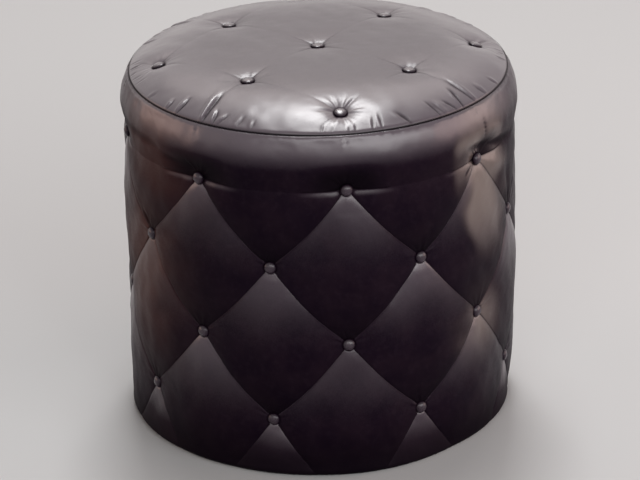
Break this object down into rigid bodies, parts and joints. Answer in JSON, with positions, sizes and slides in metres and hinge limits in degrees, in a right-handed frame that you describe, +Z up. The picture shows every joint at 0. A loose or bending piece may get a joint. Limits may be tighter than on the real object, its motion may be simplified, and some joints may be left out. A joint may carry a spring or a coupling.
{
  "type": "tufted stool",
  "caption": "Round drum stool in dark buttoned leather: diamond-tufted side, crowned tufted top, board and post drum inside.",
  "frame": {"origin": "on the floor, under the middle of the drum", "axes": "+Z up through the middle of the seat; a column of side buttons faces -Y"},
  "size_m": [0.48, 0.48, 0.4646],
  "materials": {
    "leather": "satin",
    "foam": "matte",
    "board": "matte",
    "hardboard": "matte",
    "post": "matte",
    "dust_cloth": "matte",
    "glide": "satin"
  },
  "bodies": {
    "root": {"base_board": "board", "seat_board": "board", "side_wall": "hardboard", "post_1": "post", "post_2": "post", "post_3": "post", "post_4": "post", "side_foam": "foam", "seat_foam": "foam", "side_cover_front": "leather", "side_cover_rear": "leather", "top_cover": "leather", "side_button_1_1": "leather", "side_button_1_2": "leather", "side_button_1_3": "leather", "side_button_1_4": "leather", "side_button_1_5": "leather", "side_button_1_6": "leather", "side_button_1_7": "leather", "side_button_1_8": "leather", "side_button_2_1": "leather", "side_button_2_2": "leather", "side_button_2_3": "leather", "side_button_2_4": "leather", "side_button_2_5": "leather", "side_button_2_6": "leather", "side_button_2_7": "leather", "side_button_2_8": "leather", "side_button_3_1": "leather", "side_button_3_2": "leather", "side_button_3_3": "leather", "side_button_3_4": "leather", "side_button_3_5": "leather", "side_button_3_6": "leather", "side_button_3_7": "leather", "side_button_3_8": "leather", "side_button_4_1": "leather", "side_button_4_2": "leather", "side_button_4_3": "leather", "side_button_4_4": "leather", "side_button_4_5": "leather", "side_button_4_6": "leather", "side_button_4_7": "leather", "side_button_4_8": "leather", "top_button_1": "leather", "top_button_2": "leather", "top_button_3": "leather", "top_button_4": "leather", "top_button_5": "leather", "top_button_6": "leather", "top_button_7": "leather", "top_button_8": "leather", "top_button_9": "leather", "dust_cover": "dust_cloth", "glide_1": "glide", "glide_2": "glide", "glide_3": "glide", "glide_4": "glide"}
  },
  "joints": []
}
